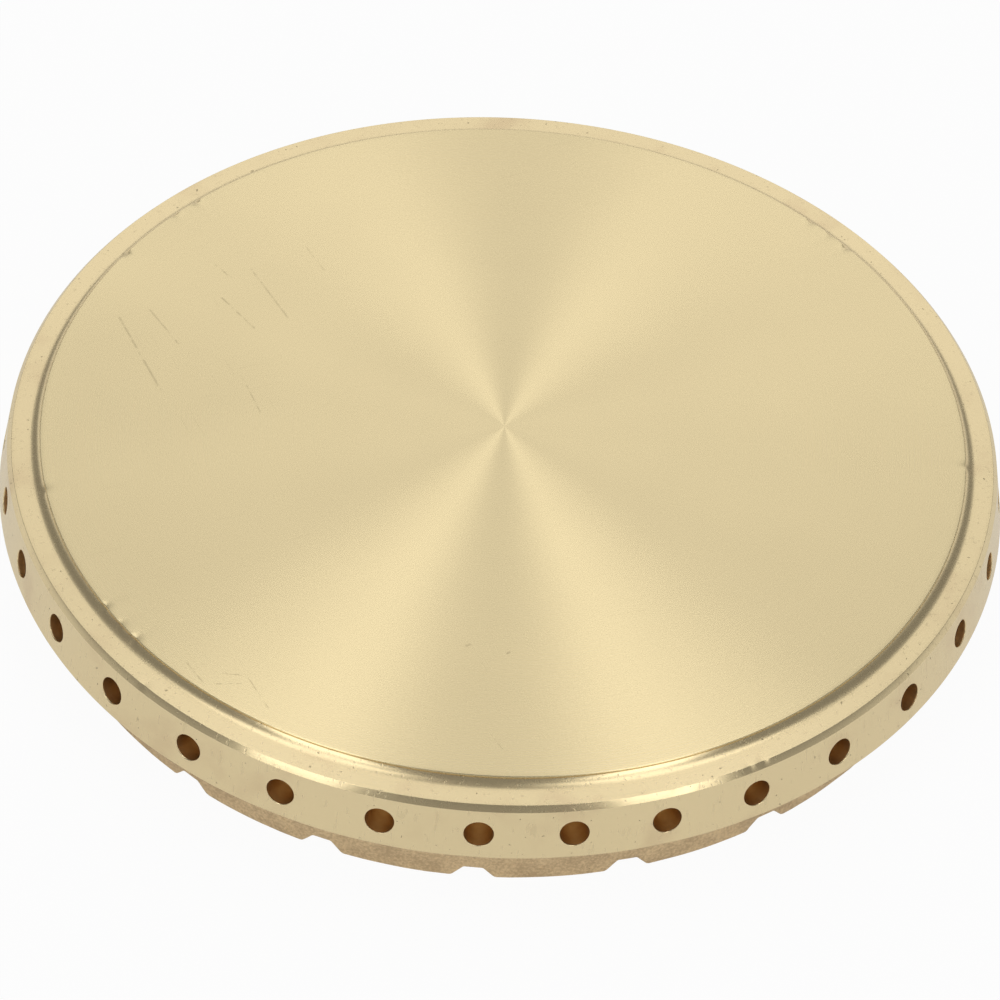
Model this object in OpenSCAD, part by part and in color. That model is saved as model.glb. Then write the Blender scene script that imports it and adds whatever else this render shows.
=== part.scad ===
// Burner flame spreader: the one-piece brass cap of a gas hob burner.
// A turned disc stands a small step above a flat ledge. Below the ledge a flared wall carries the
// drilled flame ports. Under its overhang an as-forged skirt stands on the burner cup, with a row
// of notches along its foot that feed small holding flames. Seen from below the cap is hollow.
// Millimetres, +Z up. The origin lies on the axis, in the plane of the foot.
// Azimuths are in degrees from the front (-Y) towards +X.

/* [Overall] */
// Largest diameter, at the lower edge of the flared wall
flange_d = 109.7; // [90:0.1:140]
// Break on the machined edges of the disc and of the wall
edge_break = 0.1; // [0.05:0.01:0.15]

/* [Disc and ledge] */
// Step from the ledge up to the disc
step_h = 0.78; // [0.75:0.01:1.5]
// Width of the ledge, from the disc's edge to the chamfer
ledge_w = 3.06; // [2.5:0.01:6]
// Nose radius of the cove at the foot of the step
cove_r = 1.5; // [1:0.1:2]
// Height that the cove climbs up the step
cove_rise = 0.5; // [0.3:0.05:0.55]
// Width of the chamfer round the ledge
chamfer_w = 0.49; // [0.2:0.01:1]
// Drop of the chamfer round the ledge
chamfer_drop = 0.59; // [0.2:0.01:1]
// Thickness of the plate between the disc's face and the chamber
plate_t = 3; // [2:0.1:4.5]

/* [Wall] */
// Height of the flared wall, from the chamfer to its lower edge
wall_h = 5.8; // [5:0.1:10]
// How far the wall flares out over its height
wall_flare = 1.09; // [0.3:0.01:2]

/* [Flame ports] */
// Number of flame ports
port_count = 33; // [12:1:40]
// Diameter of a port
port_d = 3; // [1.5:0.1:3.6]
// Width of the break round a port's mouth
port_break = 0.1; // [0.05:0.01:0.2]
// Height of a port's centre above the wall's lower edge
port_rise = 2.97; // [2.4:0.01:3.4]
// Azimuth of the first port
port_start = -0.9; // [-5:0.1:5]
// Largest error of the port spacing, which swings round the wall in lobes
port_drift = 1.1; // [0:0.1:1.5]
// Phase of that error at the first port
port_drift_phase = 133; // [0:1:360]

/* [Skirt] */
// Height of the wall's lower edge above the foot
skirt_h = 8; // [6:0.1:12]
// How far the wall's lower edge stands out over the foot
overhang = 4.05; // [3:0.05:8]
// Forging draft on the skirt's outside, in degrees
skirt_draft = 3; // [0.5:0.5:6]
// Fillet between the skirt and the underside of the wall
overhang_fillet = 1.5; // [0.5:0.1:2]
// Thickness of the skirt at its foot
foot_wall = 4; // [2.5:0.1:8]
// Rounding of the foot's inner and outer edges
foot_round = 0.3; // [0.1:0.05:0.5]

/* [Foot notches] */
// Number of notches in the foot
notch_count = 20; // [4:1:30]
// Height of a notch
notch_h = 1.55; // [0.8:0.05:2.5]
// Width of a notch along the foot
notch_foot_w = 4.5; // [3.6:0.1:6]
// Width of a notch along its ceiling
notch_top_w = 2; // [1.2:0.1:3]
// Radius in the corners of a notch's ceiling
notch_top_r = 0.4; // [0.1:0.05:0.6]
// Rounding where a notch's flanks run out into the foot
notch_foot_r = 0.6; // [0.1:0.05:0.8]
// Azimuth of the first notch
notch_start = -0.5; // [-9:0.1:9]

/* [Chamber] */
// Forging draft on the chamber's wall, in degrees
chamber_draft = 1.5; // [0.5:0.5:4]
// Fillet between the chamber's wall and its ceiling
chamber_fillet = 1; // [0.5:0.1:1.5]

/* [Hidden] */
$fn = 96;
brass = "#d9c78f";

// Heights of the profile, from the foot up
ledge_z = skirt_h + wall_h + chamfer_drop;
top_z = ledge_z + step_h;
ceiling_z = top_z - plate_t;

// Radii of the profile, from the wall's lower edge inwards
flange_r = flange_d / 2;
wall_top_r = flange_r - wall_flare;
ledge_r = wall_top_r - chamfer_w;
disc_r = ledge_r - ledge_w;
cove_w = sqrt(2 * cove_r * cove_rise - cove_rise * cove_rise);
foot_r = flange_r - overhang;
skirt_top_r = foot_r + skirt_h * tan(skirt_draft);
chamber_r = foot_r - foot_wall;
ceiling_r = chamber_r - ceiling_z * tan(chamber_draft);

// The ports are drilled square to the flared wall, through to the chamber
wall_tilt = atan(wall_flare / wall_h);
port_r = port_d / 2;
port_z = skirt_h + port_rise;
port_mouth_r = flange_r - port_rise * tan(wall_tilt);
port_reach = (port_mouth_r - ceiling_r) / cos(wall_tilt) + port_r;
drift_lobes = 4;

// The break's cutter ends this far outside the mouth, clear of the round wall
wall_bulge = 0.2;

// Corners of a notch, seen from outside
notch_top = [notch_top_w / 2, notch_h];
notch_foot = [notch_foot_w / 2, 0];
notch_reach = foot_wall + overhang;

// Cutters run past the faces that they open by this much
over = 1;

// The arc in a rounded corner crosses the corner's sides by this much, and so meets them cleanly
bite = 0.001;

function unit(v) = v / norm(v);

// Azimuths of the ports, whose spacing error repeats in each of its lobes, and of the notches
function port_azimuth(i) =
    let (even = i * 360 / port_count)
    port_start + even + port_drift * sin(drift_lobes * even + port_drift_phase);
function notch_azimuth(i) = notch_start + i * 360 / notch_count;

// Stands its children, drawn in the XZ plane with X outwards, at an azimuth
module at_azimuth(a) {
    rotate([0, 0, a - 90]) children();
}

// Half the angle of the corner at c, on the way from a to b
function half_angle(a, c, b) = acos(unit(a - c) * unit(b - c)) / 2;

// The two points of that corner's sides at which an arc of radius r leads from one to the other
function touch_points(a, c, b, r) =
    let (reach = r / tan(half_angle(a, c, b)))
    [c + unit(a - c) * reach, c + unit(b - c) * reach];

// The disc whose rim is that arc: a corner that is cut off at its touch points is rounded by
// adding it, and one that is filled up to them is hollowed by taking it away
module corner_disc(a, c, b, r) {
    away = r / sin(half_angle(a, c, b)) - bite;
    translate(c + unit(unit(a - c) + unit(b - c)) * away) circle(r = r);
}

// Section of the cap without its chamber
module outer_section() {
    foot_centre = [0, 0];
    foot_edge = [foot_r, 0];
    under_flange = [skirt_top_r, skirt_h];
    flange_edge = [flange_r, skirt_h];
    wall_top = [wall_top_r, skirt_h + wall_h];
    difference() {
        union() {
            polygon(concat(
                [foot_centre],
                touch_points(foot_centre, foot_edge, under_flange, foot_round),
                touch_points(foot_edge, under_flange, flange_edge, overhang_fillet),
                [
                    flange_edge - [edge_break, 0],
                    flange_edge + unit(wall_top - flange_edge) * edge_break,
                    wall_top,
                    [ledge_r, ledge_z],
                    [disc_r, ledge_z],
                    [disc_r, top_z - edge_break],
                    [disc_r - edge_break, top_z],
                    [0, top_z]
                ]
            ));
            corner_disc(foot_centre, foot_edge, under_flange, foot_round);
            cove();
        }
        corner_disc(foot_edge, under_flange, flange_edge, overhang_fillet);
    }
}

// The hollow curve that leads from the ledge up the step, on a strip sunk into both
module cove() {
    difference() {
        translate([disc_r - cove_w, ledge_z - over])
            square([2 * cove_w, over + step_h - edge_break]);
        translate([disc_r + cove_w, ledge_z + cove_r - bite]) circle(r = cove_r);
    }
}

// Section of the gas chamber, with the rounding of the foot's inner edge
module chamber_section() {
    beyond = [chamber_r + over, 0];
    mouth = [chamber_r, 0];
    ceiling_edge = [ceiling_r, ceiling_z];
    ceiling_centre = [0, ceiling_z];
    foot_points = touch_points(beyond, mouth, ceiling_edge, foot_round);
    difference() {
        union() {
            polygon(concat(
                [[0, -over], [foot_points[0][0], -over]],
                foot_points,
                touch_points(mouth, ceiling_edge, ceiling_centre, chamber_fillet),
                [ceiling_centre]
            ));
            corner_disc(mouth, ceiling_edge, ceiling_centre, chamber_fillet);
        }
        corner_disc(beyond, mouth, ceiling_edge, foot_round);
    }
}

// One flame port, with the break at its mouth
module port() {
    translate([port_mouth_r, 0, port_z]) rotate([0, 90 - wall_tilt, 0]) {
        translate([0, 0, -port_reach]) cylinder(r = port_r, h = port_reach + over);
        translate([0, 0, -port_break]) cylinder(
            r1 = port_r,
            r2 = port_r + port_break + wall_bulge,
            h = port_break + wall_bulge
        );
    }
}

// Half of a notch's outline, with its ceiling corner and the run-out into the foot
module notch_half() {
    beyond = notch_foot + [over, 0];
    ceiling_centre = [0, notch_h];
    foot_points = touch_points(beyond, notch_foot, notch_top, notch_foot_r);
    difference() {
        union() {
            polygon(concat(
                [[0, -over], [foot_points[0][0], -over]],
                foot_points,
                touch_points(notch_foot, notch_top, ceiling_centre, notch_top_r),
                [ceiling_centre]
            ));
            corner_disc(notch_foot, notch_top, ceiling_centre, notch_top_r);
        }
        corner_disc(beyond, notch_foot, notch_top, notch_foot_r);
    }
}

// One notch, cut outwards through the skirt
module notch() {
    translate([chamber_r - over, 0, 0]) rotate([90, 0, 90]) linear_extrude(notch_reach) {
        notch_half();
        mirror([1, 0]) notch_half();
    }
}

// The whole cap, forged, turned and drilled from one piece of brass
module flame_spreader() {
    color(brass) difference() {
        rotate_extrude() difference() {
            outer_section();
            chamber_section();
        }
        for (i = [0:port_count - 1]) at_azimuth(port_azimuth(i)) port();
        for (i = [0:notch_count - 1]) at_azimuth(notch_azimuth(i)) notch();
    }
}

flame_spreader();
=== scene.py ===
"""Looks of a burner flame spreader: the one-piece brass cap of a gas hob burner.

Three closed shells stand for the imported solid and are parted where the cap's finish changes:
the turned top, the ring that holds the flame ports and the chamber's ceiling, and the forged
skirt with its foot notches. The classes hold their sizes in millimetres, with the same names
and values as the part's source; a mesh is written in metres, in the part's own frame.
Azimuths are in degrees from the front (-Y) towards +X.
"""

import logging
import math
from dataclasses import dataclass, field
from enum import Enum

import bmesh
import bpy
import numpy as np
from mathutils import Matrix, Vector


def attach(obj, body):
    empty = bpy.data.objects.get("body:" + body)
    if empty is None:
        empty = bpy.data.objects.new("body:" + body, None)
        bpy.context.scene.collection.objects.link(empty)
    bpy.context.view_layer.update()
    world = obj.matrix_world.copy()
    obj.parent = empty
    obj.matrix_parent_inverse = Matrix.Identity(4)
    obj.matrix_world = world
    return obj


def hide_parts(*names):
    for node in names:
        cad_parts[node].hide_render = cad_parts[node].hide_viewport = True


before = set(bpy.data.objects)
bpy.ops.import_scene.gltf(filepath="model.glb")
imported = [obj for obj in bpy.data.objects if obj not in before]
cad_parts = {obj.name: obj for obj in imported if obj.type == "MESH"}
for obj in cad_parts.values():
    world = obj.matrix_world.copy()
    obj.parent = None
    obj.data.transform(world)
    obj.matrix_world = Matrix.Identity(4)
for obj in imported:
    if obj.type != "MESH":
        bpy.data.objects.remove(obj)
bpy.context.view_layer.update()

LOG = logging.getLogger("flame_spreader")
MM = 0.001
NODE = "flame_spreader"
BODY = "root"


class Finish(Enum):
    """How a surface of the cap was left by the tool that made it."""

    SUNRAY = "sunray_turned_brass"
    TURNED = "smooth_turned_brass"
    DRILLED = "drilled_brass"
    FORGED = "as_forged_brass"



def rounded(corners: list[tuple[float, float]], radii: list[float], steps: int = 6) -> np.ndarray:
    """Carries a profile through its corners, rounding them.

    An arc leaves the sides of its corner at radius / tan(half the corner's angle). Its points are
    the arc's centre plus the arm to one touch point, turned evenly into the arm to the other.

    Args:
        corners: Points of the profile, as pairs.
        radii: Radius at each corner between the first and the last; 0 keeps it sharp.
        steps: Steps along an arc.

    Returns:
        The points, shaped (n, 2).
    """
    at = np.array(corners, float)
    parts = [at[:1]]
    share = np.linspace(0, 1, steps + 1)[:, None]
    for before, corner, after, radius in zip(at[:-2], at[1:-1], at[2:], radii):
        if not radius:
            parts.append(corner[None])
            continue
        back = (before - corner) / np.linalg.norm(before - corner)
        on = (after - corner) / np.linalg.norm(after - corner)
        half = math.acos(float(np.clip(back @ on, -1, 1))) / 2
        middle = (back + on) / np.linalg.norm(back + on)
        centre = corner + middle * radius / math.sin(half)
        first = corner + back * radius / math.tan(half) - centre
        last = corner + on * radius / math.tan(half) - centre
        turn = math.pi - 2 * half
        arms = (np.sin((1 - share) * turn) * first + np.sin(share * turn) * last) / math.sin(turn)
        parts.append(centre + arms)
    parts.append(at[-1:])
    return np.concatenate(parts)


def refined(profile: np.ndarray, step: float) -> np.ndarray:
    """Adds points to a profile, so that none of its stretches is longer than a step.

    The points are read off the profile at even shares of each long stretch.

    Args:
        profile: Points, shaped (n, 2).
        step: The longest stretch that is left.

    Returns:
        The points with the added ones, in order.
    """
    run = np.concatenate([[0], np.cumsum(np.linalg.norm(np.diff(profile, axis=0), axis=1))])
    pieces = np.ceil(np.diff(run) / step).astype(int).clip(1)
    added = [np.linspace(a, b, n, endpoint=False) for a, b, n in zip(run[:-1], run[1:], pieces)]
    along = np.append(np.concatenate(added), run[-1])
    return np.stack([np.interp(along, run, profile[:, k]) for k in range(2)], axis=-1)


def stood(radius: np.ndarray, azimuth: np.ndarray, height: np.ndarray) -> np.ndarray:
    """Puts cylindrical places into the part's frame: x = r sin(a), y = -r cos(a), z = height.

    Args:
        radius: Distances from the axis.
        azimuth: Azimuths in degrees.
        height: Heights above the foot.

    Returns:
        The points, with a last axis of 3.
    """
    turn = np.radians(azimuth)
    radius, turn, height = np.broadcast_arrays(radius, turn, height)
    return np.stack([radius * np.sin(turn), -radius * np.cos(turn), height], axis=-1)


def lathed(profile: np.ndarray, azimuths: np.ndarray) -> np.ndarray:
    """Turns a profile of (radius, height) pairs about the axis, one row for each azimuth."""
    return stood(profile[None, :, 0], azimuths[:, None], profile[None, :, 1])


def rolling(points: np.ndarray, wavelength: float, seed: int, waves: int = 14) -> np.ndarray:
    """Gives a smooth unevenness at each point, between about -1 and 1.

    It is the mean of sine waves that run in random directions, with lengths spread round the
    wavelength, scaled up by the root of their number.

    Args:
        points: Points with a last axis of 3.
        wavelength: The middle wavelength, in millimetres.
        seed: Seed of the directions and phases.
        waves: Number of waves.

    Returns:
        One value for each point.
    """
    draw = np.random.default_rng(seed)
    way = draw.normal(size=(3, waves))
    way *= 2 * math.pi / (wavelength * draw.uniform(0.6, 1.6, waves)) / np.linalg.norm(way, axis=0)
    phase = draw.uniform(0, 2 * math.pi, waves)
    return np.sin(points @ way + phase).sum(-1) / math.sqrt(waves)


@dataclass
class Dent:
    """A nick in an edge: a hollow that fades with distance as a bell curve does."""

    radius: float
    azimuth: float
    height: float
    depth: float
    width: float

    def pressed(self, points: np.ndarray) -> np.ndarray:
        """Moves points inwards and down by depth * exp(-distance^2 / (2 width^2)).

        Args:
            points: Points with a last axis of 3.

        Returns:
            The moved points.
        """
        centre = stood(self.radius, self.azimuth, self.height)
        fade = np.exp(-((points - centre) ** 2).sum(-1) / (2 * self.width**2))
        inwards = -centre / np.linalg.norm(centre[:2])
        inwards[2] = -0.7
        return points + (self.depth * fade)[..., None] * inwards


class Shell:
    """Patches of points that are welded into one closed mesh."""

    def __init__(self) -> None:
        """Starts with no patch."""
        self.points: list[np.ndarray] = []
        self.quads: list[np.ndarray] = []
        self.finishes: list[tuple[Finish, int]] = []
        self.count = 0

    def add(self, grid: np.ndarray, finish: Finish, round_trip: bool = False) -> None:
        """Takes a grid of points as a patch.

        Args:
            grid: Points in millimetres, shaped (..., rows, columns, 3). Axes in front of those
                hold patches of one size.
            finish: The finish of the patch.
            round_trip: Whether the last row is joined to the first.
        """
        rows, columns = grid.shape[-3:-1]
        number = self.count + np.arange(grid.size // 3).reshape(-1, rows, columns)
        if round_trip:
            number = np.concatenate([number, number[:, :1]], axis=1)
        corners = [number[:, :-1, :-1], number[:, :-1, 1:], number[:, 1:, 1:], number[:, 1:, :-1]]
        quads = np.stack(corners, axis=-1).reshape(-1, 4)
        self.points.append(grid.reshape(-1, 3))
        self.quads.append(quads)
        self.finishes.append((finish, len(quads)))
        self.count += grid.size // 3

    def welded(self, name: str, looks: dict[Finish, bpy.types.Material]) -> bpy.types.Object:
        """Makes the piece: points that meet are merged, and faces are turned outwards.

        Args:
            name: Name of the piece.
            looks: The material of each finish.

        Returns:
            The piece, at the origin, in metres.
        """
        meet, crease = 2e-6, math.radians(38)
        points, quads = np.concatenate(self.points) * MM, np.concatenate(self.quads)
        worn = [f for f in Finish if f in {finish for finish, _ in self.finishes}]
        slots = np.concatenate([np.full(n, worn.index(f)) for f, n in self.finishes])
        mesh = bpy.data.meshes.new(name)
        mesh.vertices.add(len(points))
        mesh.vertices.foreach_set("co", points.astype(np.float32).ravel())
        mesh.loops.add(quads.size)
        mesh.loops.foreach_set("vertex_index", quads.astype(np.int32).ravel())
        mesh.polygons.add(len(quads))
        mesh.polygons.foreach_set("loop_start", np.arange(0, quads.size, 4, dtype=np.int32))
        for finish in worn:
            mesh.materials.append(looks[finish])
        mesh.polygons.foreach_set("material_index", slots.astype(np.int32))
        mesh.update(calc_edges=True)
        work = bmesh.new()
        work.from_mesh(mesh)
        bmesh.ops.remove_doubles(work, verts=work.verts, dist=meet)
        bmesh.ops.recalc_face_normals(work, faces=work.faces)
        open_edges = sum(not edge.is_manifold for edge in work.edges)
        work.to_mesh(mesh)
        work.free()
        mesh.shade_smooth()
        mesh.set_sharp_from_angle(angle=crease)
        piece = bpy.data.objects.new(name, mesh)
        bpy.context.scene.collection.objects.link(piece)
        LOG.info("%s: %d faces, %d open edges", name, len(mesh.polygons), open_edges)
        return piece



@dataclass(frozen=True)
class CapSizes:
    """Sizes of the cap, as in the part's source."""

    flange_d: float = 109.7
    edge_break: float = 0.1
    step_h: float = 0.78
    ledge_w: float = 3.06
    cove_r: float = 1.5
    cove_rise: float = 0.5
    chamfer_w: float = 0.49
    chamfer_drop: float = 0.59
    plate_t: float = 3.0
    wall_h: float = 5.8
    wall_flare: float = 1.09
    port_count: int = 33
    port_d: float = 3.0
    port_break: float = 0.1
    port_rise: float = 2.97
    port_start: float = -0.9
    port_drift: float = 1.1
    port_drift_phase: float = 133.0
    drift_lobes: int = 4
    skirt_h: float = 8.0
    overhang: float = 4.05
    skirt_draft: float = 3.0
    overhang_fillet: float = 1.5
    foot_wall: float = 4.0
    foot_round: float = 0.3
    notch_count: int = 20
    notch_h: float = 1.55
    notch_foot_w: float = 4.5
    notch_top_w: float = 2.0
    notch_top_r: float = 0.4
    notch_foot_r: float = 0.6
    notch_start: float = -0.5
    chamber_draft: float = 1.5
    chamber_fillet: float = 1.0

    @property
    def wall_top_z(self) -> float:
        """Height of the edge between the wall and the chamfer."""
        return self.skirt_h + self.wall_h

    @property
    def ledge_z(self) -> float:
        """Height of the ledge."""
        return self.wall_top_z + self.chamfer_drop

    @property
    def top_z(self) -> float:
        """Height of the disc's face."""
        return self.ledge_z + self.step_h

    @property
    def ceiling_z(self) -> float:
        """Height of the chamber's ceiling."""
        return self.top_z - self.plate_t

    @property
    def flange_r(self) -> float:
        """Radius at the wall's lower edge."""
        return self.flange_d / 2

    @property
    def wall_top_r(self) -> float:
        """Radius at the wall's upper edge."""
        return self.flange_r - self.wall_flare

    @property
    def ledge_r(self) -> float:
        """Outer radius of the ledge."""
        return self.wall_top_r - self.chamfer_w

    @property
    def disc_r(self) -> float:
        """Radius of the disc."""
        return self.ledge_r - self.ledge_w

    @property
    def foot_r(self) -> float:
        """Outer radius of the foot."""
        return self.flange_r - self.overhang

    @property
    def chamber_r(self) -> float:
        """Radius of the chamber at the foot."""
        return self.foot_r - self.foot_wall

    @property
    def wall_slope(self) -> float:
        """How much the wall's radius falls with each millimetre of height."""
        return self.wall_flare / self.wall_h

    @property
    def chamber_slope(self) -> float:
        """How much the chamber's radius falls with each millimetre of height."""
        return math.tan(math.radians(self.chamber_draft))

    @property
    def skirt_slope(self) -> float:
        """How much the skirt's radius grows with each millimetre of height."""
        return math.tan(math.radians(self.skirt_draft))

    def wall_r(self, height: np.ndarray | float) -> np.ndarray | float:
        """Radius of the wall at a height."""
        return self.flange_r - (height - self.skirt_h) * self.wall_slope

    def chamber_wall_r(self, height: np.ndarray | float) -> np.ndarray | float:
        """Radius of the chamber's wall at a height."""
        return self.chamber_r - height * self.chamber_slope

    def skirt_r(self, height: np.ndarray | float) -> np.ndarray | float:
        """Radius of the skirt's outside at a height."""
        return self.foot_r + height * self.skirt_slope

    def port_azimuths(self) -> np.ndarray:
        """Azimuths of the ports: even, plus an error that swings in lobes round the wall."""
        even = np.arange(self.port_count) * 360 / self.port_count
        lag = np.radians(self.drift_lobes * even + self.port_drift_phase)
        return self.port_start + even + self.port_drift * np.sin(lag)


# Heights at which the three shells are parted, inside the metal apart from their outer rims
TOP_SEAM = 13.55
SKIRT_SEAM_R = 49.5
SKIRT_SEAM_Z = 6.5



def worn_edges(sizes: CapSizes) -> list[Dent]:
    """Places the nicks of the disc's edge and the chips of the chamfer's upper edge."""
    disc = ((-132.5, 0.2), (-128.8, 0.14), (-118.9, 0.2), (137.6, 0.16), (131.0, 0.2))
    disc += ((134.2, 0.12), (-52.9, 0.16), (-49.5, 0.1), (-46.5, 0.14), (-74.0, 0.1), (88.0, 0.1))
    chamfer = ((31.8, 0.07), (30.1, 0.05), (22.3, 0.06), (21.3, 0.04), (-41.0, 0.05))
    width = 0.38
    return [Dent(sizes.disc_r, a, sizes.top_z, d, width) for a, d in disc] + [
        Dent(sizes.ledge_r, a, sizes.ledge_z, d, width) for a, d in chamfer
    ]


@dataclass
class TurnedTop:
    """The turned top: disc face, step, cove, ledge, chamfer and the first rim of the wall."""

    sizes: CapSizes
    turns: int = 1080
    corner_r: float = 0.07
    disc_corner_r: float = 0.12
    dents: list[Dent] = field(default_factory=list)

    def profile(self) -> tuple[np.ndarray, np.ndarray, np.ndarray]:
        """Draws the section, from the axis outwards over the top and back underneath.

        The cove is an arc about a centre above the ledge, from the step down to the ledge.

        Returns:
            The disc's stretch, the bands' stretch and the hidden underside.
        """
        s = self.sizes
        rings = [(r, s.top_z) for r in (0, 2, 5, 10, 16, 24, 32, 40, 46, 49)]
        cove_w = math.sqrt(2 * s.cove_r * s.cove_rise - s.cove_rise**2)
        start = math.acos(1 - s.cove_rise / s.cove_r)
        swing = np.linspace(start, 0, 13)
        cove = np.stack(
            [
                s.disc_r + cove_w - s.cove_r * np.sin(swing),
                s.ledge_z + s.cove_r * (1 - np.cos(swing)),
            ],
            axis=-1,
        )
        corner = rounded(
            [(49.6, s.top_z), (s.disc_r, s.top_z), tuple(cove[0])], [self.disc_corner_r], 7
        )
        rim = rounded(
            [
                tuple(cove[-1]),
                (s.ledge_r, s.ledge_z),
                (s.wall_top_r, s.wall_top_z),
                (s.wall_r(TOP_SEAM), TOP_SEAM),
            ],
            [self.corner_r, self.corner_r],
        )
        disc = np.concatenate([np.array(rings), corner[:-1]])
        bands = np.concatenate([corner[-2:-1], cove, refined(rim, 0.4)[1:]])
        under = np.array([bands[-1], (30, TOP_SEAM), (0, TOP_SEAM)])
        return disc, bands, under

    def build(self, looks: dict[Finish, bpy.types.Material]) -> bpy.types.Object:
        """Turns the section and presses the nicks into its edges.

        Args:
            looks: The material of each finish.

        Returns:
            The piece.
        """
        azimuths = np.arange(self.turns) * 360 / self.turns
        shell = Shell()
        for stretch, finish in zip(self.profile(), (Finish.SUNRAY, Finish.TURNED, Finish.TURNED)):
            grid = lathed(stretch, azimuths)
            for dent in self.dents:
                grid = dent.pressed(grid)
            shell.add(grid, finish, round_trip=True)
        return shell.welded("turned_top", looks)


@dataclass
class PortRing:
    """The flared wall with its drilled ports, and the chamber's upper wall and ceiling."""

    sizes: CapSizes
    across: int = 22
    upright: int = 14
    bore_rings: tuple[float, ...] = (0.0, 0.02, 0.08, 0.2, 0.45, 0.75, 1.0)
    cell_rings: tuple[float, ...] = (0.0, 0.012, 0.04, 0.12, 0.3, 0.6, 1.0)
    rim_steps: int = 4
    rim_uneven: float = 0.5
    seed: int = 7

    def cells(self) -> tuple[np.ndarray, np.ndarray]:
        """Gives each port its stretch of the wall, from midpoint to midpoint.

        Returns:
            The ports' azimuths, and each cell's lower and upper azimuth about its port.
        """
        at = self.sizes.port_azimuths()
        after = np.roll(at, -1) + np.where(np.arange(len(at)) == len(at) - 1, 360, 0)
        above = (after - at) / 2
        return at, np.stack([-np.roll(above, 1), above], axis=-1)

    def azimuths(self) -> np.ndarray:
        """Azimuths of the ring's columns, the same number in each cell."""
        at, ends = self.cells()
        share = np.arange(self.across) / self.across
        lows, highs = (at[:, None] + ends).T
        return (lows[:, None] * (1 - share) + highs[:, None] * share).ravel()

    def cell_outline(self, low: float, high: float) -> tuple[np.ndarray, np.ndarray]:
        """Walks round each cell's outline: along its foot, up, back along its top, and down.

        Args:
            low: Height of the cells' foot.
            high: Height of their top.

        Returns:
            Azimuths about the port, shaped (ports, points), and heights, shaped (points,).
        """
        ends = self.cells()[1]
        along, up = np.arange(self.across) / self.across, np.arange(self.upright) / self.upright
        sideways = np.concatenate([along, np.ones(self.upright), 1 - along, np.zeros(self.upright)])
        height = np.concatenate([np.zeros(self.across), up, np.ones(self.across), 1 - up])
        azimuth = ends[:, :1] * (1 - sideways) + ends[:, 1:] * sideways
        return azimuth, low + (high - low) * height

    def along_drill(
        self, aside: np.ndarray, above: np.ndarray, cone_r: float, cone_slope: float
    ) -> np.ndarray:
        """Finds how far out along the drill a cone is met, beside the drill's axis.

        The line starts in the plane square to the drill at the port's mouth. The cone's radius is
        cone_r - cone_slope * height, so the squares of both radii make a quadratic in the way
        along the line, and the larger root is on the near side.

        Args:
            aside: Offsets along the wall, level.
            above: Offsets up the wall.
            cone_r: The cone's radius at height 0.
            cone_slope: How much its radius falls with height.

        Returns:
            The way along the drill, outwards.
        """
        s = self.sizes
        tilt = math.atan(s.wall_slope)
        cos, sin = math.cos(tilt), math.sin(tilt)
        mouth_z = s.skirt_h + s.port_rise
        out = s.wall_r(mouth_z) - above * sin
        width = cone_r - cone_slope * (mouth_z + above * cos)
        square = cos**2 - (cone_slope * sin) ** 2
        half = out * cos + cone_slope * sin * width
        rest = out**2 + aside**2 - width**2
        return (-half + np.sqrt(half**2 - square * rest)) / square

    def from_drill(self, aside: np.ndarray, above: np.ndarray, way: np.ndarray) -> np.ndarray:
        """Turns offsets beside and along the drill into (radius, azimuth, height).

        Args:
            aside: Offsets along the wall, level.
            above: Offsets up the wall.
            way: The way along the drill, outwards.

        Returns:
            Radius, azimuth about the port in degrees, and height, on the first axis.
        """
        s = self.sizes
        tilt = math.atan(s.wall_slope)
        mouth_z = s.skirt_h + s.port_rise
        out = s.wall_r(mouth_z) - above * math.sin(tilt) + way * math.cos(tilt)
        height = mouth_z + above * math.cos(tilt) + way * math.sin(tilt)
        out, aside, height = np.broadcast_arrays(out, aside, height)
        return np.stack([np.hypot(out, aside), np.degrees(np.arctan2(aside, out)), height])

    def rim_width(self, angle: np.ndarray) -> np.ndarray:
        """Width of the broken rim round each port, uneven as a hand-held burr knife leaves it.

        It is the source's break, times 1 plus three waves round the rim with random phases.

        Args:
            angle: Angles round each port in radians, shaped (ports, points).

        Returns:
            Widths, of the same shape.
        """
        draw = np.random.default_rng(self.seed)
        phase = draw.uniform(0, 2 * math.pi, (3, len(angle), 1))
        strength = draw.uniform(0.2, 1, (3, len(angle), 1)) / np.array([1, 2, 3])[:, None, None]
        waves = sum(strength[k] * np.sin((k + 1) * angle + phase[k]) for k in range(3))
        return self.sizes.port_break * (1 + self.rim_uneven * waves).clip(0.4, 2)

    def ports(self, shell: Shell) -> None:
        """Adds the wall's cells, the rims, the bores and the chamber wall's cells.

        A cell's rings run from the rim to the cell's outline, in azimuth and height. A rim's
        rings follow a quarter circle from the wall into the bore. A bore's rings run straight
        along the drill to the chamber's wall.

        Args:
            shell: The shell that they are added to.
        """
        s = self.sizes
        at = self.cells()[0][:, None, None]
        low, high = s.skirt_h + s.edge_break, TOP_SEAM
        azimuth, height = self.cell_outline(low, high)
        tilt = math.atan(s.wall_slope)
        mouth_z = s.skirt_h + s.port_rise
        level = np.radians(azimuth) * s.wall_r(mouth_z)
        angle = np.arctan2((height - mouth_z) / math.cos(tilt), level)
        width = self.rim_width(angle)
        cos, sin, bore = np.cos(angle), np.sin(angle), s.port_d / 2
        outer = s.flange_r + s.skirt_h * s.wall_slope, s.wall_slope
        inner = s.chamber_r, s.chamber_slope

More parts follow.
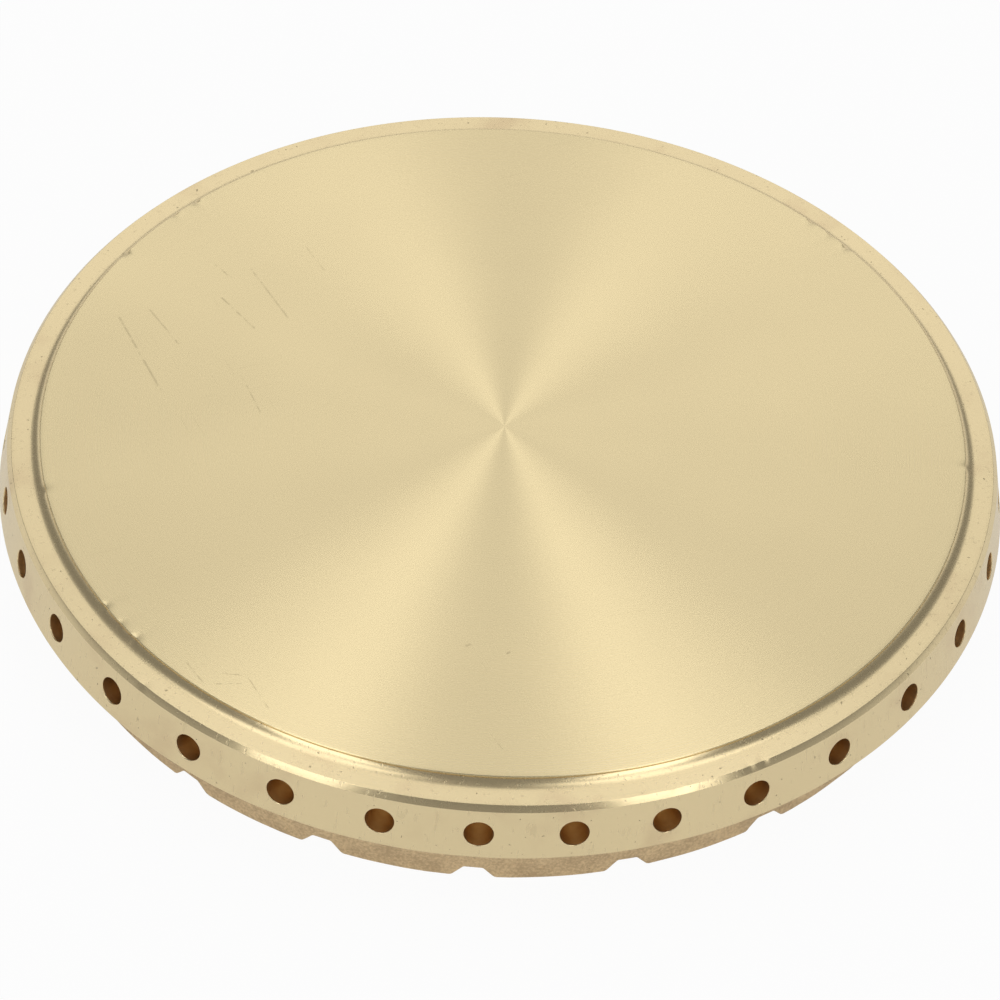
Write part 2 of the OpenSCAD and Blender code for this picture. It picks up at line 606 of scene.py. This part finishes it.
        turn = np.linspace(0, math.pi / 2, self.rim_steps + 1)[None, :, None]
        reach = bore + width[:, None] * (1 - np.sin(turn))
        aside, above = reach * cos[:, None], reach * sin[:, None]
        way = self.along_drill(aside, above, *outer) - width[:, None] * (1 - np.cos(turn))
        rims = self.from_drill(aside, above, way)

        aside, above = bore * cos[:, None], bore * sin[:, None]
        deep = self.along_drill(aside, above, *inner)
        share = np.array(self.bore_rings)[None, :, None]
        bores = self.from_drill(aside, above, way[:, -1:] * (1 - share) + deep * share)

        share = np.array(self.cell_rings)[None, :, None]
        rim = rims[:, :, :1]
        cell_azimuth = rim[1] * (1 - share) + azimuth[:, None] * share
        cell_height = rim[2] * (1 - share) + height * share
        cells = np.stack([s.wall_r(cell_height), cell_azimuth, cell_height])

        azimuth, height = self.cell_outline(SKIRT_SEAM_Z, self.ceiling_profile()[0, 1])
        end = bores[:, :, -1:]
        cell_azimuth = end[1] * (1 - share) + azimuth[:, None] * share
        cell_height = end[2] * (1 - share) + height * share
        inside = np.stack([s.chamber_wall_r(cell_height), cell_azimuth, cell_height])

        for places, finish in (
            (cells, Finish.TURNED),
            (rims, Finish.TURNED),
            (bores, Finish.DRILLED),
            (inside, Finish.FORGED),
        ):
            radius, about, up = np.concatenate([places, places[..., :1]], axis=-1)
            shell.add(stood(radius, at + about, up), finish)

    def ceiling_profile(self) -> np.ndarray:
        """Section of the chamber's ceiling, from its fillet to the axis."""
        s = self.sizes
        corners = [
            (s.chamber_wall_r(9), 9),
            (s.chamber_wall_r(s.ceiling_z), s.ceiling_z),
            (0, s.ceiling_z),
        ]
        return np.concatenate(
            [
                rounded(corners, [s.chamber_fillet], 8)[1:-1],
                [(r, s.ceiling_z) for r in (42, 34, 24, 14, 6, 0)],
            ]
        )

    def build(self, looks: dict[Finish, bpy.types.Material]) -> bpy.types.Object:
        """Makes the ring of cells and closes it above, below and inside.

        Args:
            looks: The material of each finish.

        Returns:
            The piece.
        """
        s = self.sizes
        shell, azimuths = Shell(), self.azimuths()
        self.ports(shell)
        low = s.skirt_h + s.edge_break
        edge = rounded(
            [(s.wall_r(low), low), (s.flange_r, s.skirt_h), (s.flange_r - 0.4, s.skirt_h)],
            [s.edge_break],
            5,
        )
        fillet_r = SkirtRing(s).fillet_start()
        below = [edge[-1], (fillet_r, s.skirt_h), (SKIRT_SEAM_R, s.skirt_h)]
        below += [(SKIRT_SEAM_R, SKIRT_SEAM_Z), (s.chamber_wall_r(SKIRT_SEAM_Z), SKIRT_SEAM_Z)]
        above = np.array([(s.wall_r(TOP_SEAM), TOP_SEAM), (30, TOP_SEAM), (0, TOP_SEAM)])
        shell.add(lathed(edge, azimuths), Finish.TURNED, round_trip=True)
        shell.add(lathed(refined(np.array(below), 1), azimuths), Finish.FORGED, round_trip=True)
        shell.add(lathed(self.ceiling_profile(), azimuths), Finish.FORGED, round_trip=True)
        shell.add(lathed(above, azimuths), Finish.TURNED, round_trip=True)
        return shell.welded("port_ring", looks)


@dataclass
class SkirtRing:
    """The as-forged skirt under the overhang, with the notches in its foot."""

    sizes: CapSizes
    land_columns: int = 9
    lift_z: float = 5.5
    uneven: float = 0.045
    seed: int = 21

    def fillet_start(self) -> float:
        """Radius at which the overhang's fillet leaves the underside of the wall."""
        return float(self.fillet()[0, 0])

    def fillet(self) -> np.ndarray:
        """Section of the fillet between the underside of the wall and the skirt."""
        s = self.sizes
        corners = [
            (s.flange_r, s.skirt_h),
            (s.skirt_r(s.skirt_h), s.skirt_h),
            (s.skirt_r(0), 0),
        ]
        return rounded(corners, [s.overhang_fillet], 8)[1:-1]

    def section(self) -> np.ndarray:
        """Draws the section as a closed loop, down the outside and up the inside."""
        s = self.sizes
        foot = rounded(
            [
                (s.skirt_r(2), 2),
                (s.foot_r, 0),
                (s.chamber_r, 0),
                (s.chamber_wall_r(SKIRT_SEAM_Z), SKIRT_SEAM_Z),
                (SKIRT_SEAM_R, SKIRT_SEAM_Z),
                (SKIRT_SEAM_R, s.skirt_h),
                (self.fillet_start(), s.skirt_h),
            ],
            [s.foot_round, s.foot_round, 0, 0, 0],
        )
        return refined(np.concatenate([self.fillet(), foot]), 0.6)

    def notch_outline(self) -> np.ndarray:
        """Outline of a notch seen from outside: offsets along the foot and heights."""
        s = self.sizes
        foot, top, beyond = s.notch_foot_w / 2, s.notch_top_w / 2, s.notch_foot_w / 2 + 0.35
        corners = [(-beyond, 0), (-foot, 0), (-top, s.notch_h)]
        corners += [(top, s.notch_h), (foot, 0), (beyond, 0)]
        radii = [s.notch_foot_r, s.notch_top_r, s.notch_top_r, s.notch_foot_r]
        return refined(rounded(corners, radii, 5), 0.3)

    def build(self, looks: dict[Finish, bpy.types.Material]) -> bpy.types.Object:
        """Carries the section round the axis, lifted over each notch.

        Below a set height a point rises by the notch's height times its share of the way down,
        and keeps its share of the wall's thickness. Columns of a notch stay parallel to its
        middle; those of a land fan out evenly between the two notches beside it.

        Args:
            looks: The material of each finish.

        Returns:
            The piece.
        """
        s = self.sizes
        section, outline = self.section(), self.notch_outline()
        radius, height = section.T
        spare = np.zeros(self.land_columns)
        offset = np.concatenate([outline[:, 0], spare])[:, None]
        lift = np.concatenate([outline[:, 1], spare])[:, None]
        fan = np.concatenate([np.zeros(len(outline)), np.arange(1, self.land_columns + 1)])[:, None]
        fan = fan / (self.land_columns + 1)

        wide = s.skirt_r(height) - s.chamber_wall_r(height)
        depth = (radius - s.chamber_wall_r(height)) / wide
        up = height + lift * (1 - height / self.lift_z).clip(0)
        wide = s.skirt_r(up) - s.chamber_wall_r(up)
        moved = np.where(height < self.lift_z, s.chamber_wall_r(up) + depth * wide, radius)

        pitch, beyond = 360 / s.notch_count, outline[-1, 0]
        edge = np.degrees(np.arcsin(beyond / moved))
        about = np.where(
            fan > 0,
            edge * (1 - fan) + (pitch - edge) * fan,
            np.degrees(np.arcsin(offset / moved)),
        )
        starts = s.notch_start + np.arange(s.notch_count) * pitch
        azimuth = starts[:, None, None] + about
        places = stood(moved[None], azimuth, up[None]).reshape(-1, len(section), 3)
        shell = Shell()
        shell.add(self.roughed(places), Finish.FORGED, round_trip=True)
        return shell.welded("skirt", looks)

    def roughed(self, places: np.ndarray) -> np.ndarray:
        """Gives the outside the slight unevenness of a forging.

        A point moves along its radius by two rolling waves, fading out towards the underside of
        the wall, the foot's plane and the inside.

        Args:
            places: Points with a last axis of 3.

        Returns:
            The moved points.
        """
        s = self.sizes
        radius = np.linalg.norm(places[..., :2], axis=-1)
        height = places[..., 2]
        outside = (radius - s.skirt_r(0) + 1).clip(0, 1)
        fade = outside * (height / 0.5).clip(0, 1) * ((s.skirt_h - 0.3 - height) / 1.5).clip(0, 1)
        waves = rolling(places, 5, self.seed) + 0.5 * rolling(places, 1.6, self.seed + 1)
        push = self.uneven * fade * waves
        out = places[..., :2] / radius[..., None]
        return np.concatenate([places[..., :2] + push[..., None] * out, places[..., 2:]], axis=-1)



class Wire:
    """A shader value, on which Python's operators add Math nodes."""

    def __init__(self, bench: "Bench", socket: bpy.types.NodeSocket) -> None:
        """Keeps the bench that the value is on and the socket that it comes from."""
        self.bench, self.socket = bench, socket

    def __add__(self, other: "Wire | float") -> "Wire":
        """Sum."""
        return self.bench.math("ADD", self, other)

    __radd__ = __add__

    def __sub__(self, other: "Wire | float") -> "Wire":
        """Difference."""
        return self.bench.math("SUBTRACT", self, other)

    def __rsub__(self, other: "Wire | float") -> "Wire":
        """Difference with a number in front."""
        return self.bench.math("SUBTRACT", other, self)

    def __mul__(self, other: "Wire | float") -> "Wire":
        """Product."""
        return self.bench.math("MULTIPLY", self, other)

    __rmul__ = __mul__


class Bench:
    """Builds one node tree: a material's or the world's."""

    def __init__(self, tree: bpy.types.NodeTree) -> None:
        """Clears the tree and starts from nothing."""
        self.tree = tree
        tree.nodes.clear()

    def node(self, kind: str, settings: dict | None = None, **sockets: object) -> bpy.types.Node:
        """Adds a node: its settings come first, then the values or links of its sockets.

        Args:
            kind: The node's type.
            settings: Its settings by name.
            sockets: Sockets by name, with spaces as underscores, or by number as in _0.

        Returns:
            The node.
        """
        made = self.tree.nodes.new(kind)
        for name, value in (settings or {}).items():
            setattr(made, name, value)
        for name, value in sockets.items():
            key = int(name[1:]) if name[0] == "_" else name.replace("_", " ")
            self.join(made.inputs[key], value)
        return made

    def join(self, socket: bpy.types.NodeSocket, value: object) -> None:
        """Links a wire, or sets a plain value."""
        if isinstance(value, Wire):
            self.tree.links.new(value.socket, socket)
        else:
            socket.default_value = value

    def out(self, node: bpy.types.Node, name: str | int = 0) -> Wire:
        """Takes one output of a node as a wire."""
        return Wire(self, node.outputs[name])

    def math(self, operation: str, *values: "Wire | float") -> Wire:
        """Adds a Math node."""
        named = {f"_{k}": v for k, v in enumerate(values)}
        return self.out(self.node("ShaderNodeMath", {"operation": operation}, **named))

    def vector(self, operation: str, *values: object) -> Wire:
        """Adds a Vector Math node."""
        named = {f"_{k}": v for k, v in enumerate(values)}
        made = self.node("ShaderNodeVectorMath", {"operation": operation}, **named)
        return self.out(made, "Value" if operation in ("LENGTH", "DOT_PRODUCT") else "Vector")

    def scaled(self, vector: Wire, by: tuple[float, float, float]) -> Wire:
        """Stretches a vector along its axes."""
        return self.vector("MULTIPLY", vector, by)

    def toned(self, colour: object, tone: Wire) -> Wire:
        """Multiplies a colour by a number."""
        return self.out(
            self.node("ShaderNodeVectorMath", {"operation": "SCALE"}, _0=colour, Scale=tone)
        )

    def step(self, value: Wire, low: float, high: float) -> Wire:
        """Rises smoothly from 0 at low to 1 at high; falls if low is above high."""
        return self.out(
            self.node(
                "ShaderNodeMapRange",
                {"interpolation_type": "SMOOTHSTEP"},
                Value=value,
                From_Min=low,
                From_Max=high,
            )
        )

    def mixed(self, factor: "Wire | float", first: object, second: object) -> Wire:
        """Mixes two colours."""
        made = self.node("ShaderNodeMix", {"data_type": "RGBA"}, _0=factor, _6=first, _7=second)
        return self.out(made, 2)

    def noise(self, place: Wire, scale: float, detail: float = 2, rough: float = 0.5) -> Wire:
        """Adds a noise in three dimensions, at a scale per millimetre."""
        made = self.node(
            "ShaderNodeTexNoise", Vector=place, Scale=scale, Detail=detail, Roughness=rough
        )
        return self.out(made, "Fac")

    def noise_along(self, value: Wire, scale: float, detail: float = 2) -> Wire:
        """Adds a noise that changes along one value only."""
        made = self.node(
            "ShaderNodeTexNoise", {"noise_dimensions": "1D"}, W=value, Scale=scale, Detail=detail
        )
        return self.out(made, "Fac")

    def hairlines(self, place: Wire, angle: float, stretch: float, fine: float) -> Wire:
        """Draws thin streaks in one direction, where a stretched noise comes out high.

        Args:
            place: Places in millimetres.
            angle: Direction of the streaks from +X, in degrees.
            stretch: Scale of the noise along them, per millimetre.
            fine: Scale of the noise across them, per millimetre.

        Returns:
            1 on a streak, 0 beside it.
        """
        low, high = 0.66, 0.74
        cos, sin = math.cos(math.radians(angle)), math.sin(math.radians(angle))
        along = self.vector("DOT_PRODUCT", place, (cos * stretch, sin * stretch, 0))
        across = self.vector("DOT_PRODUCT", place, (-sin * fine, cos * fine, 0))
        turned = self.node("ShaderNodeCombineXYZ", X=along, Y=across)
        return self.step(self.noise(self.out(turned), 1, 2), low, high)

    def stroke(self, flat: Wire, mark: "Stroke") -> Wire:
        """Draws a straight scratch: 1 on its line, falling to 0 at its half width.

        The nearest place on the line is its start plus the share of its way that the dot product
        gives, held between 0 and 1.

        Args:
            flat: Places in millimetres, with height 0.
            mark: The scratch.

        Returns:
            Its depth, 0 to 1.
        """
        way = (mark.end[0] - mark.start[0], mark.end[1] - mark.start[1], 0)
        offset = self.vector("SUBTRACT", flat, (*mark.start, 0))
        share = self.node(
            "ShaderNodeMath",
            {"operation": "MULTIPLY", "use_clamp": True},
            _0=self.vector("DOT_PRODUCT", offset, way),
            _1=1 / (way[0] ** 2 + way[1] ** 2),
        )
        nearest = self.toned(way, self.out(share))
        gap = self.vector("LENGTH", self.vector("SUBTRACT", offset, nearest))
        return mark.depth * self.step(gap, mark.half_width, 0)

    def millimetres(self) -> Wire:
        """Object coordinates, in millimetres."""
        place = self.out(self.node("ShaderNodeTexCoord"), "Object")
        return self.scaled(place, (1 / MM, 1 / MM, 1 / MM))

    def split(self, vector: Wire) -> tuple[Wire, Wire, Wire]:
        """Parts a vector into its three numbers."""
        made = self.node("ShaderNodeSeparateXYZ", Vector=vector)
        return self.out(made, 0), self.out(made, 1), self.out(made, 2)

    def seen_straight(self, path: bpy.types.Node) -> Wire:
        """Is 1 for what the camera sees, straight or in metal or glass."""
        mirrored = self.math(
            "MAXIMUM", self.out(path, "Is Glossy Ray"), self.out(path, "Is Transmission Ray")
        )
        return self.math("MAXIMUM", self.out(path, "Is Camera Ray"), mirrored)

    def bump(self, height: Wire, rise: float, normal: Wire | None = None) -> Wire:
        """Turns heights into a normal.

        Args:
            height: Heights, 0 to 1.
            rise: Millimetres between 0 and 1.
            normal: A normal that this one goes on.

        Returns:
            The normal.
        """
        sockets = {"Height": height, "Distance": rise * MM}
        if normal:
            sockets["Normal"] = normal
        return self.out(self.node("ShaderNodeBump", **sockets))



def new_finish(finish: Finish) -> tuple[bpy.types.Material, Bench]:
    """Starts the material of a finish, with an empty bench for its nodes."""
    made = bpy.data.materials.new(finish.value)
    made.use_nodes = True
    return made, Bench(made.node_tree)


@dataclass(frozen=True)
class Stroke:
    """A scratch on the disc's face, between two places in millimetres."""

    start: tuple[float, float]
    end: tuple[float, float]
    half_width: float = 0.14
    depth: float = 1.0


DISC_STROKES = (
    Stroke((-24.7, -38.6), (-22.1, -42.9)),
    Stroke((-27.6, -40.1), (-25.1, -39.8)),
    Stroke((-27.1, -38.6), (-25.2, -38.7), 0.12),
    Stroke((-30.9, -37.4), (-28.9, -40.1)),
    Stroke((11.4, -27.5), (15.8, -26.1), 0.1, 0.5),
    Stroke((0.3, -44.3), (1.8, -46.6), 0.12, 0.7),
    Stroke((-43.4, 13.5), (-37.7, 2.4), 0.22, 0.8),
    Stroke((-40.4, 15.4), (-36.5, 9.9), 0.2, 0.7),
    Stroke((-32.4, 17.8), (-28.4, 13.2), 0.2, 0.8),
    Stroke((-29.5, 22.8), (-24.8, 15.2), 0.2, 0.7),
    Stroke((-33.8, 23.4), (-31.6, 21.2), 0.2, 0.8),
    Stroke((-23.6, 27.1), (-21.4, 23.5), 0.18, 0.7),
    Stroke((-29.1, 5.4), (-26.6, -0.1), 0.16, 0.6),
    Stroke((-2.5, -32.7), (-2.1, -32.5), 0.25),
    Stroke((1.7, -33.5), (1.9, -33.3), 0.22),
    Stroke((-6.4, -43.2), (-6.2, -43.0), 0.25),
    Stroke((29.6, -24.1), (29.8, -23.9), 0.25),
)


@dataclass(frozen=True)
class SunrayFinish:
    """The disc's face: very fine concentric turning, which spreads light along the radius."""

    colour: tuple[float, float, float] = (0.86, 0.715, 0.42)
    roughness: float = 0.27
    across_grooves: float = 0.95
    marks: tuple[Stroke, ...] = DISC_STROKES
    rubbed_place: tuple[float, float, float] = (-38.0, 6.0, 0.0)
    rubbed_radius: float = 17.0
    ring_scale: float = 9.0
    cloud_scale: float = 0.07
    rub_angle: float = 118.0
    loose_angle: float = 24.0
    relief: float = 0.006

    def material(self) -> bpy.types.Material:
        """Makes the material: fine rings, faint clouds, hairlines, scratches and a rubbed side."""
        made, bench = new_finish(Finish.SUNRAY)
        place = bench.millimetres()
        flat = bench.scaled(place, (1, 1, 0))
        rings = bench.noise_along(bench.vector("LENGTH", flat), self.ring_scale, 3)
        clouds = bench.noise(place, self.cloud_scale, 3)
        away = bench.vector("LENGTH", bench.vector("SUBTRACT", flat, self.rubbed_place))
        rubbed = bench.step(away, self.rubbed_radius, 0.4 * self.rubbed_radius)
        steep = bench.hairlines(place, self.rub_angle, 0.12, 3.0)
        loose = bench.hairlines(place, self.loose_angle, 0.1, 1.7)
        cut = bench.stroke(flat, self.marks[0])
        for mark in self.marks[1:]:
            cut = bench.math("MAXIMUM", cut, bench.stroke(flat, mark))
        cut = cut * bench.step(bench.noise(place, 1.1, 3), 0.36, 0.6)
        worn = bench.math("MAXIMUM", steep * (0.15 + 0.6 * rubbed), 0.3 * loose)
        tone = 0.96 + 0.06 * clouds + 0.02 * rings + 0.04 * worn - 0.07 * cut - 0.03 * rubbed
        colour = bench.toned(self.colour, tone)
        height = 0.3 * rings - 0.35 * worn - 0.4 * cut
        shader = bench.node(
            "ShaderNodeBsdfPrincipled",
            Base_Color=colour,
            Metallic=1.0,
            Roughness=self.roughness - 0.02 + 0.04 * rings + 0.06 * worn + 0.12 * cut,
            Anisotropic=self.across_grooves,
            Anisotropic_Rotation=0.25,
            Normal=bench.bump(height, self.relief),
        )
        bench.node("ShaderNodeOutputMaterial", Surface=bench.out(shader))
        return made


@dataclass(frozen=True)
class TurnedFinish:
    """The ledge, cove, chamfer and wall: a smoother cut of the same lathe."""

    colour: tuple[float, float, float] = (0.84, 0.69, 0.41)
    stained: tuple[float, float, float] = (0.76, 0.60, 0.36)
    roughness: float = 0.25
    across_grooves: float = 0.8
    line_scale: float = 7.0
    stain_scale: float = 0.14
    pit_scale: float = 1.9
    upright_scale: tuple[float, float, float] = (2.4, 2.4, 0.12)
    relief: float = 0.008

    def material(self) -> bpy.types.Material:
        """Makes the material: turning lines along the profile, stains, pits and rubbed lines."""
        made, bench = new_finish(Finish.TURNED)
        place = bench.millimetres()
        _, _, z = bench.split(place)
        profile = bench.vector("LENGTH", bench.scaled(place, (1, 1, 0))) + z
        lines = bench.noise_along(profile, self.line_scale, 3)
        stains = bench.noise(place, self.stain_scale, 4)
        pits = bench.step(bench.noise(place, self.pit_scale, 1), 0.74, 0.79)
        upright = bench.step(bench.noise(bench.scaled(place, self.upright_scale), 1, 2), 0.6, 0.72)
        clean = bench.mixed(bench.step(stains, 0.5, 0.75), (*self.colour, 1), (*self.stained, 1))
        tone = 0.98 + 0.04 * lines - 0.05 * upright - 0.35 * pits
        colour = bench.toned(clean, tone)
        shader = bench.node(
            "ShaderNodeBsdfPrincipled",
            Base_Color=colour,
            Metallic=1.0,
            Roughness=self.roughness - 0.03 + 0.06 * stains + 0.05 * upright + 0.1 * pits,
            Anisotropic=self.across_grooves,
            Anisotropic_Rotation=0.25,
            Normal=bench.bump(0.3 * lines - 0.3 * upright - pits, self.relief),
        )
        bench.node("ShaderNodeOutputMaterial", Surface=bench.out(shader))
        return made


@dataclass(frozen=True)
class DrilledFinish:
    """The ports' bores: ring marks of the drill on slightly tarnished brass."""

    colour: tuple[float, float, float] = (0.88, 0.66, 0.37)
    tarnished: tuple[float, float, float] = (0.70, 0.46, 0.21)
    roughness: float = 0.34
    wall_lean: float = 0.19
    mark_scale: float = 3.0
    spot_scale: float = 1.3
    relief: float = 0.02

    def material(self) -> bpy.types.Material:
        """Makes the material: marks at even steps along the drill, which runs along the radius."""
        made, bench = new_finish(Finish.DRILLED)
        place = bench.millimetres()
        x, y, z = bench.split(place)
        depth = bench.math("SQRT", x * x + y * y) + self.wall_lean * z
        marks = bench.noise_along(depth, self.mark_scale, 3)
        spots = bench.noise(place, self.spot_scale, 4)
        colour = bench.mixed(spots, (*self.colour, 1), (*self.tarnished, 1))
        shader = bench.node(
            "ShaderNodeBsdfPrincipled",
            Base_Color=colour,
            Metallic=1.0,
            Roughness=self.roughness + 0.15 * spots,
            Normal=bench.bump(marks, self.relief),
        )
        bench.node("ShaderNodeOutputMaterial", Surface=bench.out(shader))
        return made


@dataclass(frozen=True)
class ForgedFinish:
    """The skirt and the chamber: matt brass as the forging die left it, darker where its grain is
    low, with rough pits.
    """

    colour: tuple[float, float, float] = (0.82, 0.65, 0.40)
    dark: tuple[float, float, float] = (0.56, 0.42, 0.25)
    roughness: float = 0.5
    grain_scale: float = 3.2
    blotch_scale: float = 0.35
    pit_scale: float = 1.4
    relief: float = 0.05

    def material(self) -> bpy.types.Material:
        """Makes the material: grain at three scales in colour, roughness and height."""
        made, bench = new_finish(Finish.FORGED)
        place = bench.millimetres()
        grain = bench.noise(place, self.grain_scale, 5, 0.6)
        blotches = bench.noise(place, self.blotch_scale, 3)
        pits = bench.step(bench.noise(place, self.pit_scale, 2), 0.62, 0.72)
        shade = bench.step(grain * 0.6 + blotches * 0.4, 0.35, 0.65)
        colour = bench.mixed(shade, (*self.dark, 1), (*self.colour, 1))
        height = grain * 0.7 - pits * 0.5
        shader = bench.node(
            "ShaderNodeBsdfPrincipled",
            Base_Color=colour,
            Metallic=1.0,
            Roughness=self.roughness + 0.12 * pits + 0.1 * blotches,
            Normal=bench.bump(height, self.relief),
        )
        bench.node("ShaderNodeOutputMaterial", Surface=bench.out(shader))
        return made



@dataclass(frozen=True)
class PhotoCamera:
    """The photograph's camera, aimed at the middle of the disc and then turned slightly."""

    distance: float = 428.6
    elevation: float = 44.034
    tilt: float = -1.074
    roll: float = -3.506
    lens: float = 142.02
    target_z: float = 15.17

    def build(self) -> bpy.types.Object:
        """Makes the camera and looks through it."""
        rise = math.radians(self.elevation)
        back = Vector((0, -math.cos(rise), math.sin(rise)))
        ahead, right = -back, Vector((1, 0, 0))
        up = right.cross(ahead)
        tilt = Matrix.Rotation(math.radians(self.tilt), 3, right)
        ahead, up = tilt @ ahead, tilt @ up
        roll = Matrix.Rotation(math.radians(self.roll), 3, ahead)
        right, up = roll @ right, roll @ up
        data = bpy.data.cameras.new("photo_camera")
        data.lens, data.sensor_width = self.lens, 36
        data.clip_start, data.clip_end = 0.01, 20
        camera = bpy.data.objects.new("photo_camera", data)
        place = (Vector((0, 0, self.target_z)) + back * self.distance) * MM
        turn = Matrix((right, up, -ahead)).transposed().to_4x4()
        camera.matrix_world = Matrix.Translation(place) @ turn
        bpy.context.scene.collection.objects.link(camera)
        bpy.context.scene.camera = camera
        return camera


@dataclass(frozen=True)
class Softbox:
    """A large soft lamp, placed in metres, with the direction in which it shines."""

    name: str
    place: tuple[float, float, float]
    shines: tuple[float, float, float]
    width: float
    height: float
    radiance: float

    def build(self) -> bpy.types.Object:
        """Makes the lamp; its power is pi * area * radiance."""
        data = bpy.data.lights.new(self.name, "AREA")
        data.shape, data.size, data.size_y = "RECTANGLE", self.width, self.height
        data.energy = math.pi * self.width * self.height * self.radiance
        lamp = bpy.data.objects.new(self.name, data)
        lamp.location = self.place
        lamp.rotation_mode = "QUATERNION"
        lamp.rotation_quaternion = (-Vector(self.shines)).to_track_quat("Z", "Y")
        bpy.context.scene.collection.objects.link(lamp)
        return lamp


@dataclass(frozen=True)
class Studio:
    """A plain white table in a dim room: two boxes in front, two overhead and one behind."""

    table_side: float = 6.0
    white_to_camera: float = 0.95
    white_in_metal: float = 0.45
    room: float = 0.24
    horizon: float = 0.12
    front_azimuth: float = 38.0
    front_elevation: float = 39.4
    front_size: tuple[float, float] = (0.33, 0.685)
    overhead_place: tuple[float, float, float] = (0.344, 0.109, 1.252)
    overhead_size: tuple[float, float] = (0.38, 0.94)
    rear_place: tuple[float, float, float] = (0.0, 1.0, 1.3)
    rear_size: tuple[float, float] = (0.918, 1.8)
    radiances: tuple[float, float, float] = (1.75, 1.36, 0.76)

    def boxes(self) -> list[Softbox]:
        """Places the five lamps, the pairs mirrored left and right."""
        front, overhead, rear = self.radiances
        side, along, above = self.overhead_place
        lamps = [Softbox("rear_box", self.rear_place, (0, -1, 0), *self.rear_size, rear)]
        for name, hand in (("left", -1), ("right", 1)):
            way, rise = math.radians(hand * self.front_azimuth), math.radians(self.front_elevation)
            flat = math.cos(rise)
            place = Vector((math.sin(way) * flat, -math.cos(way) * flat, math.sin(rise)))
            lamps.append(
                Softbox(f"{name}_front_box", tuple(place), tuple(-place), *self.front_size, front)
            )
            lamps.append(
                Softbox(
                    f"{name}_overhead_box",
                    (hand * side, along, above),
                    (0, 0, -1),
                    *self.overhead_size,
                    overhead,
                )
            )
        return lamps

    def table(self) -> bpy.types.Object:
        """Makes the table: pale from above, with the cap's shadow, and clear from beneath."""
        side = self.table_side / 2
        mesh = bpy.data.meshes.new("table")
        corners = [(-side, -side, 0), (side, -side, 0), (side, side, 0), (-side, side, 0)]
        mesh.from_pydata(corners, [], [(0, 1, 2, 3)])
        made = bpy.data.materials.new("white_table")
        made.use_nodes = True
        bench = Bench(made.node_tree)
        path = bench.node("ShaderNodeLightPath")
        camera = bench.out(path, "Is Camera Ray")
        share = camera * self.white_to_camera + (1 - camera) * (
            self.white_in_metal * bench.seen_straight(path)
        )
        paper = bench.node("ShaderNodeBsdfDiffuse", Color=(0.9, 0.9, 0.9, 1))
        glow = bench.node("ShaderNodeEmission", Color=(1, 1, 1, 1), Strength=1.0)
        both = bench.node(
            "ShaderNodeMixShader", _0=share, _1=bench.out(paper), _2=bench.out(glow)
        )
        beneath = bench.out(bench.node("ShaderNodeNewGeometry"), "Backfacing")
        clear = bench.out(bench.node("ShaderNodeBsdfTransparent"))
        sheet = bench.node("ShaderNodeMixShader", _0=beneath, _1=bench.out(both), _2=clear)
        bench.node("ShaderNodeOutputMaterial", Surface=bench.out(sheet))
        mesh.materials.append(made)
        table = bpy.data.objects.new("table", mesh)
        bpy.context.scene.collection.objects.link(table)
        return table

    def world(self) -> None:
        """Makes the room: white to the camera and, near the horizon, in reflections."""
        made = bpy.data.worlds.new("room")
        bpy.context.scene.world = made
        made.use_nodes = True
        bench = Bench(made.node_tree)
        path = bench.node("ShaderNodeLightPath")
        way = bench.out(bench.node("ShaderNodeTexCoord"), "Generated")
        _, _, rise = bench.split(way)
        low = bench.step(rise, 2 * self.horizon, self.horizon)
        camera = bench.out(path, "Is Camera Ray")
        level = self.room + (1 - self.room) * bench.math(
            "MAXIMUM", camera, low * bench.seen_straight(path)
        )
        glow = bench.node("ShaderNodeBackground", Color=(1, 1, 1, 1), Strength=level)
        bench.node("ShaderNodeOutputWorld", Surface=bench.out(glow))

    def build(self) -> None:
        """Sets the table, the lamps and the room."""
        self.table()
        self.world()
        for box in self.boxes():
            box.build()
        bpy.context.scene.view_settings.view_transform = "Standard"



def main() -> None:
    """Builds the camera, the studio and the three shells, and reports each one."""
    logging.basicConfig(level=logging.INFO, format="%(message)s")
    sizes = CapSizes()
    PhotoCamera().build()
    Studio().build()
    looks = {
        Finish.SUNRAY: SunrayFinish().material(),
        Finish.TURNED: TurnedFinish().material(),
        Finish.DRILLED: DrilledFinish().material(),
        Finish.FORGED: ForgedFinish().material(),
    }
    pieces = (
        (TurnedTop(sizes, dents=worn_edges(sizes)).build(looks), "turned_brass"),
        (PortRing(sizes).build(looks), "machined_brass"),
        (SkirtRing(sizes).build(looks), "forged_brass"),
    )
    for piece, slot in pieces:
        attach(piece, BODY)
        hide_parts(NODE)
        LOG.info("%s rides on %s in %s", piece.name, BODY, slot)
    bpy.context.view_layer.update()


if __name__ == "__main__":
    main()
